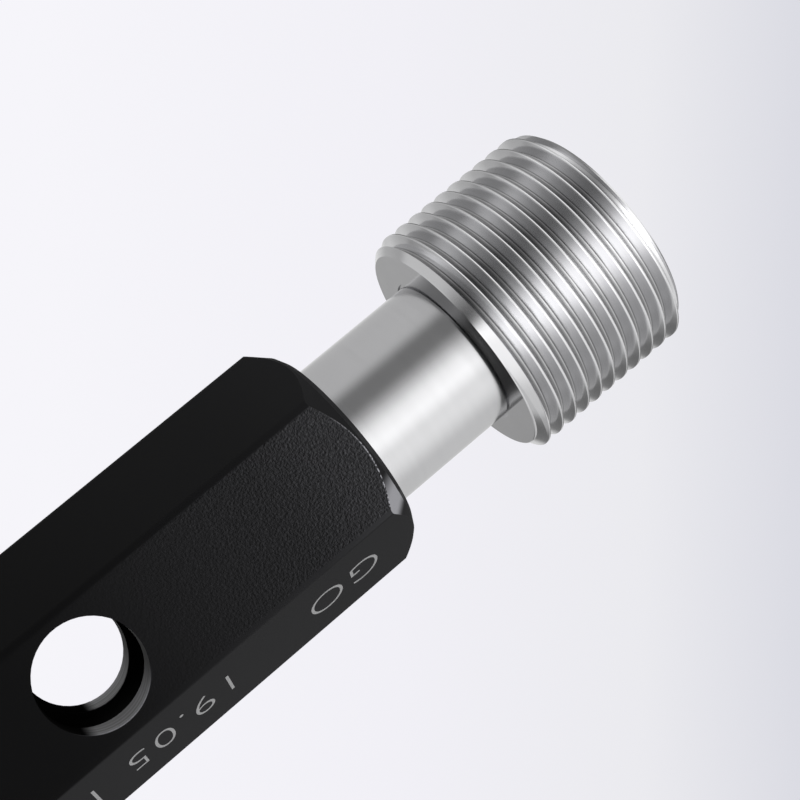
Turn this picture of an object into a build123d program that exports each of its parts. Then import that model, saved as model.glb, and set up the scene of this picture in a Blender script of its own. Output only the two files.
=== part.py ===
from build123d import *
import os
from math import ceil, cos, pi, radians, tan

# Thread plug gauge for a 3/4-20 right-hand thread, in millimetres.
# It stands on the flat front of its NO-GO end, at Z = 0, with the gauge axis along +Z.
# The flat of the handle that faces -Y is the one seen from the front.

# Thread form, shared by both ends
major_diameter = 19.05
pitch = 1.27
flank_half_angle = 30.0
root_flat = 0.20

# GO member, with the height of its first whole crest above the shoulder, on the front side
go_head_length = 14.29
go_first_crest = 1.79

# NO-GO member: larger at the flanks by the thread's tolerance, with its crests cut down
pitch_diameter_tolerance = 0.145
no_go_crest_cut = 0.065
no_go_head_length = 9.53
no_go_first_crest = 1.50

# Both heads: turned chamfers that run out just below the thread's root, neck and centre holes
head_chamfer_length = 0.70
rim_below_root = 0.04
neck_diameter = 11.90
neck_length = 10.60
neck_relief_width = 0.25
neck_relief_depth = 0.12
centre_drill_diameter = 2.00
centre_drill_depth = 3.60
centre_mouth_diameter = 4.20
centre_half_angle = 30.0

# Taper lock: the shank narrows by this much in diameter for each unit of length
taper_ratio = 0.05
shank_length = 20.00
shank_end_chamfer = 0.40
taper_clearance = 0.01
reamed_depth = 21.00

# Hexagonal handle: its sharp corners would stand just inside the thread's major diameter.
# Each end is turned to a cone, with a flatter break between the cone and the end face.
handle_length = 84.14
corner_inside_major = 0.015
edge_radius = 0.85
end_circle_inside_flats = 0.88
end_break_inside_flats = 0.14
end_break_drop = 0.43
end_chamfer_slope = 1.10
mouth_chamfer = 0.35
pilot_diameter = 10.60
pilot_run_past_drift = 1.50
drift_hole_diameter = 7.80
drift_hole_station = 24.30

# Tools: the point of a drill, and how far the wheel and the cutters run past a surface
drill_point_half_angle = 59.0
wheel_overrun = 0.08
wheel_lead_in_turns = 2
cut_overrun = 1.00

# Heights along the axis, worked out from the sizes above
no_go_shoulder = no_go_head_length
handle_bottom = no_go_shoulder + neck_length
handle_top = handle_bottom + handle_length
go_shoulder = handle_top + neck_length
go_front = go_shoulder + go_head_length
neck_radius = neck_diameter / 2
corner_radius = major_diameter / 2 - corner_inside_major
across_flats = 2 * corner_radius * cos(pi / 6)

# Diameters of the two threads, from the height of the sharp V that the standard form is cut from
sharp_v_height = pitch / 2 / tan(radians(flank_half_angle))
go_pitch_diameter = major_diameter - 0.75 * sharp_v_height
no_go_pitch_diameter = go_pitch_diameter + pitch_diameter_tolerance
no_go_major_diameter = major_diameter - 2 * no_go_crest_cut


def root_radius(pitch_diameter):
    """Radius at the bottom of the groove: the groove is half a pitch wide at the pitch line."""
    depth_below_pitch_line = (pitch / 2 - root_flat) / 2 / tan(radians(flank_half_angle))
    return pitch_diameter / 2 - depth_below_pitch_line


def groove_half_width(radius, pitch_diameter):
    """Half the width of the groove at a radius, between its two 60 degree flanks."""
    return pitch / 4 + (radius - pitch_diameter / 2) * tan(radians(flank_half_angle))


def turned(points):
    """A solid turned about the gauge axis from a closed outline of radius and height points."""
    outline = Plane.XZ * make_face(Polyline(*points, close=True))
    return revolve(outline, Axis.Z)


def ground_thread(blank, pitch_diameter, major, first_crest, length):
    """The blank with the groove of a right-hand thread ground into it, one turn after another."""
    inner = root_radius(pitch_diameter)
    outer = major / 2 + wheel_overrun
    wheel = Polyline(
        (inner, 0, -root_flat / 2),
        (outer, 0, -groove_half_width(outer, pitch_diameter)),
        (outer, 0, groove_half_width(outer, pitch_diameter)),
        (inner, 0, root_flat / 2),
        close=True,
    )
    one_turn = sweep(make_face(wheel), path=Helix(pitch, pitch, pitch_diameter / 2), is_frenet=True)
    one_turn = Rot(0, 0, 90) * one_turn
    start = first_crest - wheel_lead_in_turns * pitch
    turns = ceil((length - start) / pitch) + 1
    for turn in range(turns):
        blank -= Pos(0, 0, start + turn * pitch) * one_turn
    return blank


def member_blank(head_length, major, pitch_diameter):
    """A gauge member before its thread is ground, with the shoulder at Z = 0 and the head above it."""
    rim = root_radius(pitch_diameter) - rim_below_root
    crest = major / 2
    centre_radius = centre_drill_diameter / 2
    mouth_radius = centre_mouth_diameter / 2
    mouth_depth = (mouth_radius - centre_radius) / tan(radians(centre_half_angle))
    point_depth = centre_radius / tan(radians(drill_point_half_angle))
    shank_end = -neck_length - shank_length
    shank_end_radius = neck_radius - taper_ratio * shank_length / 2
    outline = [
        (0, shank_end + centre_drill_depth + point_depth),
        (centre_radius, shank_end + centre_drill_depth),
        (centre_radius, shank_end + mouth_depth),
        (mouth_radius, shank_end),
        (shank_end_radius - shank_end_chamfer, shank_end),
        (shank_end_radius, shank_end + shank_end_chamfer),
        (neck_radius, -neck_length),
        (neck_radius, neck_relief_depth),
        (neck_radius + neck_relief_width, neck_relief_depth),
        (neck_radius + neck_relief_width, 0),
        (rim, 0),
        (crest, head_chamfer_length),
        (crest, head_length - head_chamfer_length),
        (rim, head_length),
        (mouth_radius, head_length),
        (centre_radius, head_length - mouth_depth),
        (centre_radius, head_length - centre_drill_depth),
        (0, head_length - centre_drill_depth - point_depth),
    ]
    return turned(outline)


def gauge_member(head_length, major, pitch_diameter, first_crest):
    """A whole member: the turned blank with the thread ground into its head."""
    blank = member_blank(head_length, major, pitch_diameter)
    return ground_thread(blank, pitch_diameter, major, first_crest, head_length)


def socket_tool():
    """What is bored out of one end of the handle, with the mouth at Z = 0 and the bore going down."""
    mouth = neck_radius + taper_clearance
    reamed_end = mouth - taper_ratio * reamed_depth / 2
    lead_in = mouth - taper_ratio * mouth_chamfer / 2
    pilot = pilot_diameter / 2
    bore_depth = drift_hole_station + drift_hole_diameter / 2 + pilot_run_past_drift
    point_depth = pilot / tan(radians(drill_point_half_angle))
    return turned(
        [
            (0, cut_overrun),
            (lead_in + mouth_chamfer + cut_overrun, cut_overrun),
            (lead_in, -mouth_chamfer),
            (reamed_end, -reamed_depth),
            (pilot, -reamed_depth),
            (pilot, -bore_depth),
            (0, -bore_depth - point_depth),
        ]
    )


def hex_handle():
    """The handle from Z = 0 up: a hexagonal bar, turned at both ends, bored and cross drilled."""
    section = RegularPolygon(across_flats / 2, 6, major_radius=False)
    section = fillet(section.vertices(), edge_radius)
    bar = extrude(section, handle_length)
    end_radius = across_flats / 2 - end_circle_inside_flats
    break_radius = across_flats / 2 - end_break_inside_flats
    outside = corner_radius + cut_overrun
    end_drop = end_break_drop + (outside - break_radius) * end_chamfer_slope
    turned_ends = turned(
        [
            (0, 0),
            (end_radius, 0),
            (break_radius, end_break_drop),
            (outside, end_drop),
            (outside, handle_length - end_drop),
            (break_radius, handle_length - end_break_drop),
            (end_radius, handle_length),
            (0, handle_length),
        ]
    )
    body = bar & turned_ends
    top_socket = Pos(0, 0, handle_length) * socket_tool()
    bottom_socket = Rot(180, 0, 0) * socket_tool()
    drift_hole = Rot(90, 0, 0) * Cylinder(drift_hole_diameter / 2, across_flats + 2 * cut_overrun)
    body -= top_socket
    body -= bottom_socket
    for station in (drift_hole_station, handle_length - drift_hole_station):
        body -= Pos(0, 0, station) * drift_hole
    return body


def write_step(shape, name):
    """Writes one piece as its own file, named after the piece."""
    shape.label = name
    export_step(shape, os.path.join("parts", name + ".step"))


os.makedirs("parts", exist_ok=True)

handle = Pos(0, 0, handle_bottom) * hex_handle()
go_member = Pos(0, 0, go_shoulder) * gauge_member(
    go_head_length, major_diameter, go_pitch_diameter, go_first_crest
)
no_go_member = (
    Pos(0, 0, no_go_shoulder)
    * Rot(180, 0, 0)
    * gauge_member(no_go_head_length, no_go_major_diameter, no_go_pitch_diameter, no_go_first_crest)
)

write_step(handle, "handle")
write_step(go_member, "go_member")
write_step(no_go_member, "no_go_member")
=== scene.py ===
import math

import bmesh
import bpy
from mathutils import Matrix, Quaternion, Vector


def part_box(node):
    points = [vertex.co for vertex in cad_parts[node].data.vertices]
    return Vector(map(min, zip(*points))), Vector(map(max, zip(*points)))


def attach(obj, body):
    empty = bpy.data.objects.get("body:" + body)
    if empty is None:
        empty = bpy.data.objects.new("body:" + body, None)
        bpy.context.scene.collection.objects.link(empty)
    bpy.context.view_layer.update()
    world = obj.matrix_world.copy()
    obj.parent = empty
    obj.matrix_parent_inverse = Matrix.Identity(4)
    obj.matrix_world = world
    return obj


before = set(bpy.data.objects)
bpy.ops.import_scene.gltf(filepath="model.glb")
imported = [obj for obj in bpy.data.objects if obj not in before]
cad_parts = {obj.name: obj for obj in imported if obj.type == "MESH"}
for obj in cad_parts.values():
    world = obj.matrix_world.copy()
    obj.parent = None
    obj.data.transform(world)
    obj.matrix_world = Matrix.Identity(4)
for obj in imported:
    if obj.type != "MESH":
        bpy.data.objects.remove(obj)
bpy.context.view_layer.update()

MM = 0.001

# Places taken from model.glb: the ends of the handle and of both members
handle_low, handle_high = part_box("handle")
go_low, go_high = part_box("go_member")
no_go_low, no_go_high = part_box("no_go_member")
handle_middle = (handle_low.z + handle_high.z) / 2
face_distance = handle_high.y
go_crest_radius = (go_high.x - go_low.x) / 2
no_go_crest_radius = (no_go_high.x - no_go_low.x) / 2

# Sizes that model.glb doesn't give: the threads, the necks, the drift holes and the cones of the handle
pitch = 1.27 * MM
crest_flat = 0.16 * MM
thread_depth = 0.79 * MM
head_chamfer = 0.70 * MM
go_first_crest = 1.79 * MM
no_go_first_crest = 1.50 * MM
neck_length = 10.60 * MM
neck_radius = 5.95 * MM
hole_station = 24.30 * MM
hole_radius = 3.9 * MM
cone_break_radius = 8.10 * MM
cone_break_drop = 0.43 * MM
cone_slope = 1.10

# Heights that follow from them
go_shoulder = handle_high.z + neck_length
no_go_shoulder = handle_low.z - neck_length
go_crest_height = go_shoulder + go_first_crest
no_go_crest_height = no_go_shoulder - no_go_first_crest - pitch / 2
hole_rise = handle_high.z - hole_station - handle_middle

# The marked flat looks to the right of the front, and its text runs down the handle
mark_turn = math.radians(30)
mark_normal = Vector((math.cos(mark_turn), -math.sin(mark_turn), 0))
mark_up = Vector((math.sin(mark_turn), math.cos(mark_turn), 0))
mark_along = mark_up.cross(mark_normal)

# Camera: it stands low in front of the gauge, a little to the left, and leans over by its roll
camera_place = Vector((-18.48, -140.343, 79.06)) * MM
camera_aim = Vector((0.245, 0.007, 109.435)) * MM
camera_roll = math.radians(50.07)
camera_bearing = math.atan2(camera_place.x, -camera_place.y)
focal_length = 89.76
sensor_width = 36.0
nearest_seen = 1 * MM

# Noises: features a metre, with the detail and roughness of those that need their own
GRINDING_RINGS = {"scale": 2600.0, "detail": 3.0, "rough": 0.6}
SLOW_WAVER = {"scale": 700.0, "rough": 0.55}
CLOUDS = {"scale": 260.0}
LEATHER = {"scale": 5200.0, "detail": 4.0, "rough": 0.75}
REAMER_MARKS = {"scale": 1800.0}
SPECKS = {"scale": 7000.0}
FROST = {"scale": 9000.0}

# Steel: its colour, as linear values, and the share of it that the darker clouds keep
STEEL = (0.62, 0.62, 0.63)
CLOUDED = 0.96
CLOUD_SPAN = (0.3, 0.7)

# Grinding marks: how far they drift along the axis in a turn, and how far they stand out
RING_DRIFT = 1.5 * MM
RING_RELIEF = 0.0006 * MM
WAVER_DRIFT = 20 * MM
WAVER_RELIEF = 0.020 * MM

# Roughness of the steel, and what is added to it on each kind of place
STEEL_ROUGHNESS = 0.115
RING_ROUGHNESS = 0.05
CLOUD_ROUGHNESS = 0.03
LAPPED_ROUGHNESS = 0.05
SHOULDER_ROUGHNESS = -0.06

# Crests and grooves: heights over the crest, and places across it in halves of its flat
CREST_SKIN = (-0.03 * MM, -0.01 * MM)
FLANK_SPAN = (-thread_depth, -0.1 * MM)
ROOT_SKIN = (0.01 * MM - thread_depth, 0.06 * MM - thread_depth)
LAPPED_SPAN = (-0.1, 0.1)
UPPER_FLANK_SPAN = (1.0, 2.0)
THREAD_END_FADE = 0.1 * MM
LAPPED_LEAN = math.tan(math.radians(26.0))

# Painted shade in the grooves, and a painted highlight on the lower flank: share of the brightness that each
# flank keeps, at its root and at its crest, and that the root keeps
LOWER_FLANK_KEPT = (1.10, 1.00)
UPPER_FLANK_KEPT = (0.66, 0.67)
ROOT_KEPT = 0.55

# The neck's last stretch: heights over its surface, and distances below the shoulder
NECK_SKIN = (0.04 * MM, 0.08 * MM)
RELIEF_RISE = (0.12 * MM, 0.30 * MM)
RELIEF_FALL = (0.45 * MM, 1.50 * MM)
RELIEF_LEAN = math.tan(math.radians(5.5))
SHOULDER_MIDDLE = 0.05 * MM
SHOULDER_SKIN = (0.08 * MM, 0.13 * MM)

# Black finish: linear greys, with painted light added on the GO half and again towards the GO end
BLACK = 0.0030
GRAINED_PAINTED_LIGHT = (0.0135, 0.0130)
SMOOTH_PAINTED_LIGHT = (0.0038, 0.0030)
MARKED_BLACK = 0.0125
COOL_TINT = 1.06
# Black of the painted shadow on the walls of the drift holes
PAINTED_SHADOW_BLACK = (0.003, 0.003, 0.003, 1.0)
BLACK_ROUGHNESS = 0.60
WALL_ROUGHNESS = 0.42
BLACK_SPECULAR = 0.05

# Places on the handle: heights over a flat, reaches to the right and forwards of the rounded edge that is
# painted lighter, and heights over the GO end
FLAT_SKIN = (-0.05 * MM, -0.01 * MM)
RIGHT_EDGE_RISE = (4.15 * MM, 4.25 * MM)
RIGHT_EDGE_FALL = (4.80 * MM, 5.05 * MM)
FRONT_HALF = (0, 1 * MM)
GO_HALF = (-30 * MM, -2 * MM)
GO_END = (-9 * MM, 1 * MM)

# Grain of the drilled flats, its light and shade painted into the colour: the step towards the light, its
# contrast and its relief, and the tones of the pimples, whose tips are painted lighter
GRAIN_STEP = (0.034 * MM, 0.0, 0.045 * MM)
GRAIN_CONTRAST = 7.5
GRAIN_DARKEST = -0.80
GRAIN_RELIEF = 0.025 * MM
GRAIN_STRENGTH = 0.8
PIMPLE_SCALE = 3600.0
PIMPLE_SPAN = (0.10, 0.50)
PIMPLE_TONES = (0.34, -0.16)

# Walls of the drift holes, with painted light and shade: the side that is painted in shade, the side that is
# painted lit, and their greys
HOLE_SKIN = (0.02 * MM, 0.06 * MM)
SHADED_SIDE = (0.115, -0.974)
SHADED_AT_THE_BACK = 0.22
BACK_SPAN = (-1 * MM, 1 * MM)
SHADED_SPAN = (0.55, 0.78)
WALL_SHADE_OFF_LIT_SIDE = 0.50
LIT_SPAN = (0.45, 1.0)
WALL_TONES = (0.010, 0.150)
REAMED_SPAN = (0.35, 0.65)
REAMED_TONES = (0.6, 1.4)

# Painted highlights at the cone: greys, distances from its edge, and the reach of the highlighted stretch
# and of the highlighted corner
EDGE_HIGHLIGHT_GREY = 0.35
CORNER_HIGHLIGHT_GREY = 0.240
SPECK_SPAN = (0.42, 0.58)
EDGE_FADE = (0.03 * MM, 0.08 * MM)
EDGE_REACH = (-4.5 * MM, 1.5 * MM)
CORNER_FADE = (0.02 * MM, 0.05 * MM)
CORNER_RISE = (0.045, 0.075)
CORNER_FALL = (0.090, 0.110)

# Marks: the pale bottom of a laser line, and each piece's name, its text, where it starts and its spacing
MARK_GREY = (0.28, 0.28, 0.28)
MARK_FROSTED = 0.75
MARK_ROUGHNESS = 0.6
MARKS = (
    ("go_mark", "GO", 100.6 * MM, 1.1),
    ("size_mark", "19.05 1.27", 87.9 * MM, 1.12),
)
mark_across = -1.45 * MM
mark_thickness = 0.012 * MM
letter_height = 3.15 * MM
letter_width = 0.95
font_capital = 0.73
font_thinning = -0.020
font_steps = 6

# Floor and backdrop: the backdrop's colours run across the picture, from its left to its right
PAPER = (0.86, 0.86, 0.90, 1.0)
floor_radius = 0.40
floor_sides = 96
floor_fade = (0.15, 0.95 * floor_radius)
BACKDROP_SPREAD = 2.0
BACKDROP = (
    (0.15, (0.921, 0.913, 0.955)),
    (0.50, (0.880, 0.871, 0.921)),
    (0.74, (0.828, 0.826, 0.862)),
    (0.95, (0.658, 0.665, 0.730)),
)

# Rings of light round the gauge, each with its strength against the bearing from the camera, in degrees.
# They stand for the cards and soft boxes of a studio.
FLOOR_RING = (
    (-180, 0.50), (-165, 0.30), (-147, 0.25), (-135, 0.80), (-100, 0.80), (-88, 0.42), (-80, 0.26),
    (-70, 0.10), (-60, 0.08), (-46, 0.30), (-24, 0.90), (0, 1.60), (20, 1.80), (46, 1.80), (60, 1.55),
    (75, 1.50), (94, 1.48), (103, 1.28), (112, 0.90), (139, 0.80), (160, 0.60), (180, 0.50),
)
TABLE_RING = (
    (-180, 0.45), (-172, 0.52), (-160, 0.80), (-152, 0.58), (-145, 0.58), (-122, 0.42), (-104, 0.30),
    (-75, 0.26), (-55, 0.28), (-42, 0.32), (-28, 0.16), (-14, 0.05), (100, 0.05), (118, 0.12), (128, 0.40),
    (138, 0.60), (143, 0.50), (148, 0.30), (153, 0.18), (165, 0.24), (180, 0.45),
)

# The two rings above them have the light of the room, and cards. Each card has the bearing of its middle,
# its reach at full strength and its whole reach to each side, and its strength. A flag takes light away.
LEVEL_ROOM = 0.63
LEVEL_CARDS = (
    (-175, 4, 30, 0.24),
    (-34, 8, 32, -0.40),
    (22, 6, 34, 0.60),
    (58, 6, 56, 0.47),
    (105, 10, 75, 0.15),
)
UPPER_ROOM = 0.26
UPPER_CARDS = (
    (-90, 2, 26, 0.48),
    (-93, 5, 66, 0.69),
    (25, 6, 40, 2.20),
    (24, 0, 68, 1.60),
    (100, 32, 60, 0.70),
    (118, 4, 24, 0.18),
)
ZENITH = 1.25

# The elevations in degrees between which each ring fades into the one above it, and the last into the zenith
RING_FADES = ((-37, -30), (-8, -1), (17, 21), (50, 57))


class Shade:
    """A number in a node tree that adds, subtracts, multiplies and divides as a plain number does."""

    def __init__(self, tree, socket):
        self.tree = tree
        self.socket = socket

    def math(self, operation, *others):
        return self.tree.node("ShaderNodeMath", 0, (self, *others), operation=operation)

    def __add__(self, other):
        return self.math("ADD", other)

    def __radd__(self, other):
        return self.math("ADD", other)

    def __sub__(self, other):
        return self.math("SUBTRACT", other)

    def __rsub__(self, other):
        return self.tree.node("ShaderNodeMath", 0, (other, self), operation="SUBTRACT")

    def __mul__(self, other):
        return self.math("MULTIPLY", other)

    def __rmul__(self, other):
        return self.math("MULTIPLY", other)

    def __truediv__(self, other):
        return self.math("DIVIDE", other)

    def __rtruediv__(self, other):
        return self.tree.node("ShaderNodeMath", 0, (other, self), operation="DIVIDE")

    def __pow__(self, other):
        return self.math("POWER", other)

    def __abs__(self):
        return self.math("ABSOLUTE")

    def between(self, low, high):
        """0 below low, 1 above high and a smooth rise between them."""
        ends = {"Value": self, "From Min": low, "From Max": high}
        return self.tree.node("ShaderNodeMapRange", "Result", ends, interpolation_type="SMOOTHSTEP")

    def within(self, rise, fall):
        """1 from the end of a rise to the start of a fall, and 0 outside both."""
        return self.between(*rise) * (1.0 - self.between(*fall))

    def blend(self, first, second):
        """The first number where this one is 0, the second where it is 1."""
        return first + (second - first) * self


class Tree:
    """A node tree with one way to add a node and join it up."""

    def __init__(self, owner):
        owner.use_nodes = True
        self.tree = owner.node_tree
        self.tree.nodes.clear()

    def node(self, kind, output=None, inputs=(), stops=None, **settings):
        """Adds a node with its settings, then sets or links its sockets, and gives the output asked for."""
        node = self.tree.nodes.new(kind)
        for name, value in settings.items():
            setattr(node, name, value)
        if stops:
            self.set_stops(node.color_ramp, stops)
        pairs = inputs.items() if isinstance(inputs, dict) else enumerate(inputs)
        for place, value in pairs:
            self.join(value, node.inputs[place])
        return node if output is None else Shade(self, node.outputs[output])

    def set_stops(self, ramp, stops):
        """Colour stops of a ramp, from places between 0 and 1."""
        while len(ramp.elements) > 1:
            ramp.elements.remove(ramp.elements[-1])
        for number, (place, colour) in enumerate(stops):
            element = ramp.elements[0] if number == 0 else ramp.elements.new(place)
            element.position = place
            element.color = (*colour, 1.0)

    def join(self, value, socket):
        """Links a socket to a number of the tree, or sets it to a plain value."""
        if isinstance(value, Shade):
            self.tree.links.new(value.socket, socket)
        else:
            socket.default_value = value

    def vector(self, operation, *inputs, output="Vector"):
        """A sum, a product or another measure of vectors."""
        return self.node("ShaderNodeVectorMath", output, inputs, operation=operation)

    def scaled(self, vector, factor):
        """A vector or a colour times a number."""
        return self.node("ShaderNodeVectorMath", "Vector", {0: vector, "Scale": factor}, operation="SCALE")

    def colour(self, share, first, second):
        """A colour between two others, by a share from 0 to 1."""
        inputs = {"Factor": share, 6: (*first, 1.0), 7: (*second, 1.0)}
        return self.node("ShaderNodeMix", 2, inputs, data_type="RGBA")

    def axes(self, vector):
        """The three numbers of a vector."""
        split = self.node("ShaderNodeSeparateXYZ", None, {0: vector})
        return [Shade(self, split.outputs[name]) for name in ("X", "Y", "Z")]

    def joined(self, **numbers):
        """A vector from numbers named X, Y and Z, with 0 for each that isn't given."""
        return self.node("ShaderNodeCombineXYZ", "Vector", numbers)

    def noise(self, place, scale, detail=2.0, rough=0.5):
        """Cloudy noise between 0 and 1, with a scale in features a metre."""
        inputs = {"Vector": place, "Scale": scale, "Detail": detail, "Roughness": rough}
        return self.node("ShaderNodeTexNoise", "Fac", inputs)

    def bump(self, height, distance, strength=1.0, normal=None):
        """A surface normal from a height, where a height of 1 stands out by the distance."""
        inputs = {"Height": height, "Distance": distance, "Strength": strength}
        if normal is not None:
            inputs["Normal"] = normal
        return self.node("ShaderNodeBump", "Normal", inputs)

    def finish(self, shader, kind="ShaderNodeOutputMaterial"):
        """Joins the last shader to the output."""
        self.node(kind, None, {"Surface": shader})


def new_material(name):
    """A material, its node tree and the place of a point on the piece."""
    made = bpy.data.materials.new(name)
    tree = Tree(made)
    return made, tree, tree.node("ShaderNodeTexCoord", "Object")


def bearing_round_gauge(x, y):
    """Turns about the gauge axis, from 0 at the front (-Y) towards +X, between -0.5 and 0.5."""
    return x.math("ARCTAN2", y * -1.0) / (2 * math.pi)


def ground_steel(name, crest_height, radius, shoulder, front, up):
    """Hardened steel, ground and lapped: fine rings from grinding, crests with a lapped upper edge, and
    painted shade and a painted highlight in the grooves.

    up is 1 for a head that stands above its shoulder, and -1 for one that hangs below it.
    """
    made, tree, place = new_material(name)
    x, y, z = tree.axes(place)
    out = (x * x + y * y) ** 0.5
    turn = bearing_round_gauge(x, y)

    # Rings left by grinding: they run round the gauge, on its faces too, and waver slowly
    rings = tree.noise(tree.joined(X=out, Y=turn * RING_DRIFT, Z=z), **GRINDING_RINGS)
    waver = tree.noise(tree.joined(X=out, Y=turn * WAVER_DRIFT, Z=z), **SLOW_WAVER)
    clouds = tree.noise(place, **CLOUDS)

    # Across a crest, in halves of its flat, and the lapped upper half of that flat
    along = (z - crest_height) / pitch - turn + 0.5
    half_flat = crest_flat / pitch / 2
    across = (along - along.math("FLOOR") - 0.5) / half_flat
    over_crest = out - radius
    lapped_edge = across.between(*LAPPED_SPAN) * over_crest.between(*CREST_SKIN)

    # Painted shade: the groove's colour is darker than the crests', more so on its upper flank and along its
    # root, and its lower flank is painted a little lighter
    thread_middle = (shoulder + front) / 2
    threaded_half = abs(front - shoulder) / 2 - head_chamfer
    in_thread = 1.0 - abs(z - thread_middle).between(threaded_half - THREAD_END_FADE, threaded_half)
    up_the_flank = over_crest.between(*FLANK_SPAN)
    lower_kept = up_the_flank.blend(*LOWER_FLANK_KEPT)
    upper_kept = up_the_flank.blend(*UPPER_FLANK_KEPT)
    flank_kept = across.between(*UPPER_FLANK_SPAN).blend(lower_kept, upper_kept)
    kept = flank_kept * over_crest.between(*ROOT_SKIN).blend(ROOT_KEPT, 1.0)
    painted_groove_shade = in_thread * (1.0 - kept)

    # The last of the neck before the shoulder is relieved, so that it leans back a little
    on_neck = 1.0 - (out - neck_radius).between(*NECK_SKIN)
    to_shoulder = (shoulder - z) * up
    relieved = to_shoulder.within(RELIEF_RISE, RELIEF_FALL) * on_neck
    on_shoulder = 1.0 - abs(to_shoulder - SHOULDER_MIDDLE).between(*SHOULDER_SKIN)

    grained = tree.bump(rings, RING_RELIEF)
    grained = tree.bump(waver * in_thread, WAVER_RELIEF, normal=grained)
    lean = lapped_edge * LAPPED_LEAN - relieved * (up * RELIEF_LEAN)
    upwards = tree.scaled((0.0, 0.0, 1.0), lean)
    normal = tree.vector("NORMALIZE", tree.vector("ADD", grained, upwards))
    roughness = STEEL_ROUGHNESS + rings * RING_ROUGHNESS + clouds * CLOUD_ROUGHNESS
    roughness = roughness + lapped_edge * LAPPED_ROUGHNESS + on_shoulder * SHOULDER_ROUGHNESS
    tone = (rings * 0.5 + clouds * 0.5).between(*CLOUD_SPAN)
    colour = tree.colour(tone, tuple(CLOUDED * value for value in STEEL), STEEL)
    steel = tree.node(
        "ShaderNodeBsdfPrincipled",
        "BSDF",
        {
            # The steel's colour, with the painted shade and highlight of the grooves
            "Base Color": tree.scaled(colour, 1.0 - painted_groove_shade),
            "Metallic": 1.0,
            "Roughness": roughness,
            "Normal": normal,
        },
    )
    tree.finish(steel)
    return made


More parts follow.
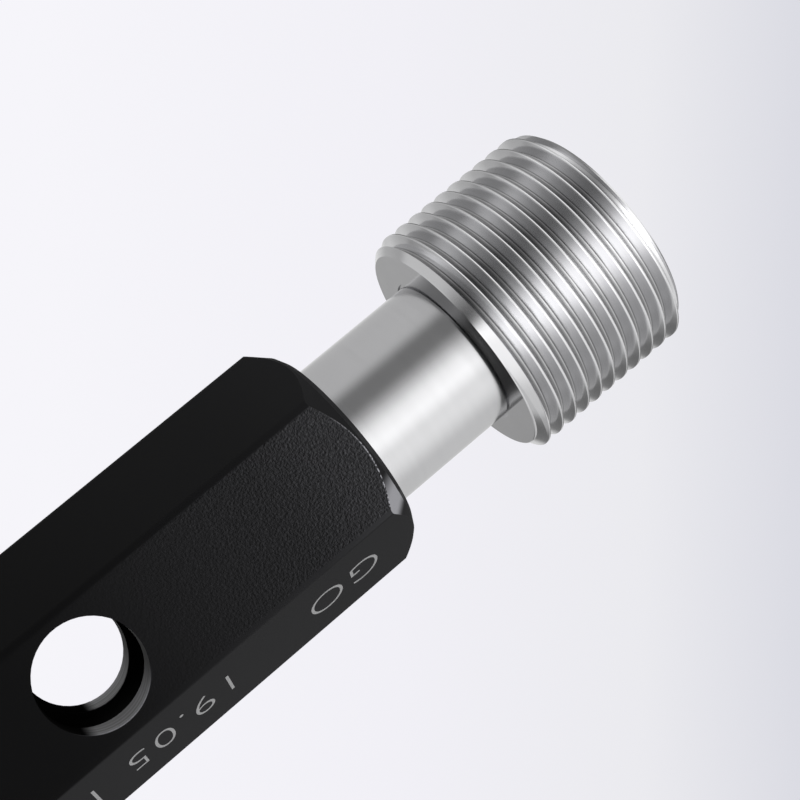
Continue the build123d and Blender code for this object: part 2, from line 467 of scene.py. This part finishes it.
def blasted_black():
    """Black anodised aluminium: leathery grain on the two drilled flats, smooth flats, and drilled walls,
    with painted light, shade and highlights on the grain, the GO half, a rounded edge, the walls and the
    cone.
    """
    made, tree, place = new_material("blasted_black")
    x, y, z = tree.axes(place)
    out = (x * x + y * y) ** 0.5
    turn = bearing_round_gauge(x, y)

    # The two drilled flats, the rounded edge beside the marked flat, which is painted lighter as if light
    # fell on it, and how far up the handle a point is
    drilled = (abs(y) - face_distance).between(*FLAT_SKIN)
    painted_light_edge = x.within(RIGHT_EDGE_RISE, RIGHT_EDGE_FALL) * (y * -1.0).between(*FRONT_HALF)
    over_go_end = z - handle_high.z
    towards_go = over_go_end.between(*GO_HALF)
    towards_end = over_go_end.between(*GO_END)

    # Grain: painted light and shade of a relief that is lit from the GO end, with painted highlights on
    # small tips, and a bump of the same shape
    leather = tree.noise(place, **LEATHER)
    lit_side = leather - tree.noise(tree.vector("ADD", place, GRAIN_STEP), **LEATHER)
    pimples = tree.node("ShaderNodeTexVoronoi", "Distance", {"Vector": place, "Scale": PIMPLE_SCALE})
    tips = pimples.between(*PIMPLE_SPAN).blend(*PIMPLE_TONES)
    coarse = drilled * towards_go
    painted_grain_shading = ((lit_side * GRAIN_CONTRAST + tips) * coarse).math("MAXIMUM", GRAIN_DARKEST)
    normal = tree.bump(leather * coarse, GRAIN_RELIEF, GRAIN_STRENGTH)

    # Walls of the drift holes: painted light on one side, and painted shade on the other, where a black
    # diffuse shader is mixed in
    over_hole = abs(z - handle_middle) - hole_rise
    from_hole = (x * x + over_hole * over_hole) ** 0.5
    in_hole = 1.0 - (from_hole - hole_radius).between(*HOLE_SKIN)
    turned_away = (x * SHADED_SIDE[0] + over_hole * SHADED_SIDE[1]) / hole_radius
    turned_away = turned_away + y.between(*BACK_SPAN) * SHADED_AT_THE_BACK
    painted_lit_wall = (x / hole_radius).between(*LIT_SPAN)
    shaded_wall = (1.0 - painted_lit_wall) * WALL_SHADE_OFF_LIT_SIDE
    painted_wall_shade = in_hole * turned_away.between(*SHADED_SPAN).math("MAXIMUM", shaded_wall)
    reamed = tree.noise(tree.joined(X=y), **REAMER_MARKS).between(*REAMED_SPAN)

    # The turned cone at the GO end: a painted highlight along its edge on the front flat, and another on one
    # corner
    cone_drop = cone_break_drop + (out - cone_break_radius) * cone_slope
    off_cone = abs(over_go_end + cone_drop)
    painted_edge_highlight = drilled * (1.0 - off_cone.between(*EDGE_FADE)) * x.between(*EDGE_REACH)
    painted_edge_highlight = painted_edge_highlight * tree.noise(place, **SPECKS).between(*SPECK_SPAN)
    painted_corner_highlight = turn.within(CORNER_RISE, CORNER_FALL) * (1.0 - off_cone.between(*CORNER_FADE))
    painted_corner_highlight = painted_corner_highlight * (1.0 - drilled)

    # One grey over the other: the flats, with their painted light, the marked flat, the walls of the holes,
    # painted lit on one side, and the painted highlights at the cone
    marked = (x * mark_normal.x + y * mark_normal.y - face_distance).between(*FLAT_SKIN)
    # Painted light: the greys grow lighter on the GO half and again towards the GO end
    grained = BLACK + towards_go * GRAINED_PAINTED_LIGHT[0] + towards_end * GRAINED_PAINTED_LIGHT[1]
    smooth = BLACK + towards_go * SMOOTH_PAINTED_LIGHT[0] + towards_end * SMOOTH_PAINTED_LIGHT[1]
    # The greys, with the painted light and shade of the grain, and the rounded edge painted as light as the
    # drilled flats
    base = (drilled + painted_light_edge).math("MINIMUM", 1.0).blend(smooth, grained) * (painted_grain_shading + 1.0)
    base = marked.blend(base, MARKED_BLACK)
    # The hole walls: dark, and painted lighter on their lit side, with reamer marks
    base = in_hole.blend(base, painted_lit_wall.blend(*WALL_TONES) * reamed.blend(*REAMED_TONES))
    base = painted_corner_highlight.blend(base, CORNER_HIGHLIGHT_GREY)
    base = painted_edge_highlight.blend(base, EDGE_HIGHLIGHT_GREY)
    black = tree.node(
        "ShaderNodeBsdfPrincipled",
        "BSDF",
        {
            "Base Color": tree.node("ShaderNodeCombineColor", "Color", (base, base, base * COOL_TINT)),
            "Roughness": in_hole.blend(BLACK_ROUGHNESS, WALL_ROUGHNESS),
            "Specular IOR Level": BLACK_SPECULAR,
            "Normal": normal,
        },
    )
    # Painted shadow: a black diffuse shader mixed in on the shaded side of the hole walls
    painted_shadow = tree.node("ShaderNodeBsdfDiffuse", "BSDF", {"Color": PAINTED_SHADOW_BLACK})
    tree.finish(tree.node("ShaderNodeMixShader", "Shader", (painted_wall_shade, black, painted_shadow)))
    return made


def engraved_grey():
    """The pale bottom of a laser mark."""
    made, tree, place = new_material("engraved_grey")
    frosted = tuple(MARK_FROSTED * value for value in MARK_GREY)
    tone = tree.colour(tree.noise(place, **FROST), frosted, MARK_GREY)
    mark = tree.node("ShaderNodeBsdfPrincipled", "BSDF", {"Base Color": tone, "Roughness": MARK_ROUGHNESS})
    tree.finish(mark)
    return made


def dress(node, finish):
    """Gives a CAD node its material."""
    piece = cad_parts[node]
    piece.data.materials.clear()
    piece.data.materials.append(finish)


def text_mesh(name, words, spacing):
    """The mesh of a text in a font one unit high, half a unit thick on each side of its plane."""
    curve = bpy.data.curves.new(name, "FONT")
    curve.body = words
    curve.size = 1.0
    curve.offset = font_thinning
    curve.space_character = spacing
    curve.resolution_u = font_steps
    curve.extrude = 0.5
    text = bpy.data.objects.new(name + "_text", curve)
    mesh = bpy.data.meshes.new_from_object(text)
    bpy.data.objects.remove(text)
    bpy.data.curves.remove(curve)
    return mesh


def add_mark(name, words, start, spacing, finish):
    """Writes generic words or numbers on the marked flat, from a height on the axis downwards."""
    mesh = text_mesh(name, words, spacing)
    scale = letter_height / font_capital
    turn = Matrix((mark_along, mark_up, mark_normal)).transposed().to_4x4()
    origin = mark_normal * face_distance + mark_up * mark_across + Vector((0, 0, start))
    size = Matrix.Diagonal((scale * letter_width, scale, mark_thickness, 1.0))
    mesh.transform(Matrix.Translation(origin) @ turn @ size)
    mesh.materials.clear()
    mesh.materials.append(finish)
    piece = bpy.data.objects.new(name, mesh)
    bpy.context.scene.collection.objects.link(piece)
    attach(piece, "root")


def ring(tree, bearing, stops):
    """The strength of one ring for a bearing between 0 and 1."""
    places = [((degrees + 180) / 360, (level, level, level)) for degrees, level in stops]
    return tree.node("ShaderNodeValToRGB", "Color", {"Fac": bearing}, stops=places)


def card_ring(bearing, room, cards):
    """The strength of a ring made of a room's light and of cards, for a bearing in degrees."""
    light = room
    for middle, full, reach, strength in cards:
        aside = abs((bearing - middle).math("WRAP", 180.0, -180.0))
        light = light + (1.0 - aside.between(full, reach)) * strength
    return light


def above(height, elevations):
    """0 below the first elevation and 1 above the second, for the height of a direction."""
    low, high = (math.sin(math.radians(degrees)) for degrees in elevations)
    return height.between(low, high)


def studio_world(picture_right):
    """Rings of soft light, one above the other, and a pale backdrop for the camera."""
    world = bpy.data.worlds.new("studio")
    bpy.context.scene.world = world
    tree = Tree(world)
    direction = tree.node("ShaderNodeTexCoord", "Generated")
    turning = {"Vector": direction, "Angle": -camera_bearing}
    turned = tree.node("ShaderNodeVectorRotate", "Vector", turning, rotation_type="Z_AXIS")
    x, y, z = tree.axes(turned)
    bearing = bearing_round_gauge(x, y)
    light = ring(tree, bearing + 0.5, FLOOR_RING)
    table = ring(tree, bearing + 0.5, TABLE_RING)
    level = card_ring(bearing * 360, LEVEL_ROOM, LEVEL_CARDS)
    upper = card_ring(bearing * 360, UPPER_ROOM, UPPER_CARDS)
    for elevations, higher in zip(RING_FADES, (table, level, upper, ZENITH)):
        light = above(z, elevations).blend(light, higher)
    studio = tree.node("ShaderNodeBackground", "Background", {"Color": (1, 1, 1, 1), "Strength": light})
    to_the_right = tree.vector("DOT_PRODUCT", direction, tuple(picture_right), output="Value")
    across_picture = {"Fac": to_the_right * BACKDROP_SPREAD + 0.5}
    backdrop = tree.node("ShaderNodeValToRGB", "Color", across_picture, stops=BACKDROP)
    seen = tree.node("ShaderNodeBackground", "Background", {"Color": backdrop})
    is_seen = tree.node("ShaderNodeLightPath", "Is Camera Ray")
    tree.finish(tree.node("ShaderNodeMixShader", "Shader", (is_seen, studio, seen)), "ShaderNodeOutputWorld")


def studio_floor():
    """A round pale floor that fades into the backdrop."""
    mesh = bpy.data.meshes.new("floor")
    shape = bmesh.new()
    bmesh.ops.create_circle(shape, cap_ends=True, segments=floor_sides, radius=floor_radius)
    shape.to_mesh(mesh)
    shape.free()
    floor = bpy.data.objects.new("floor", mesh)
    bpy.context.scene.collection.objects.link(floor)
    made, tree, place = new_material("pale_floor")
    fade = tree.vector("LENGTH", place, output="Value").between(*floor_fade)
    paper = tree.node("ShaderNodeBsdfDiffuse", "BSDF", {"Color": PAPER})
    clear = tree.node("ShaderNodeBsdfTransparent", "BSDF")
    tree.finish(tree.node("ShaderNodeMixShader", "Shader", (fade, paper, clear)))
    mesh.materials.append(made)
    floor.visible_glossy = False


def place_camera():
    """The photograph's view of the gauge, and the direction to the right in it."""
    lens = bpy.data.cameras.new("camera")
    lens.lens = focal_length
    lens.sensor_width = sensor_width
    lens.clip_start = nearest_seen
    camera = bpy.data.objects.new("camera", lens)
    bpy.context.scene.collection.objects.link(camera)
    camera.location = camera_place
    look = (camera_aim - camera_place).to_track_quat("-Z", "Y")
    camera.rotation_mode = "QUATERNION"
    camera.rotation_quaternion = look @ Quaternion((0, 0, 1), camera_roll)
    bpy.context.scene.camera = camera
    return camera.rotation_quaternion @ Vector((1, 0, 0))


dress("handle", blasted_black())
go_steel = ground_steel("go_steel", go_crest_height, go_crest_radius, go_shoulder, go_high.z, 1)
dress("go_member", go_steel)
no_go_steel = ground_steel(
    "no_go_steel", no_go_crest_height, no_go_crest_radius, no_go_shoulder, no_go_low.z, -1
)
dress("no_go_member", no_go_steel)

mark_finish = engraved_grey()
for name, words, start, spacing in MARKS:
    add_mark(name, words, start, spacing, mark_finish)

studio_world(place_camera())
studio_floor()
bpy.context.scene.view_settings.view_transform = "Standard"
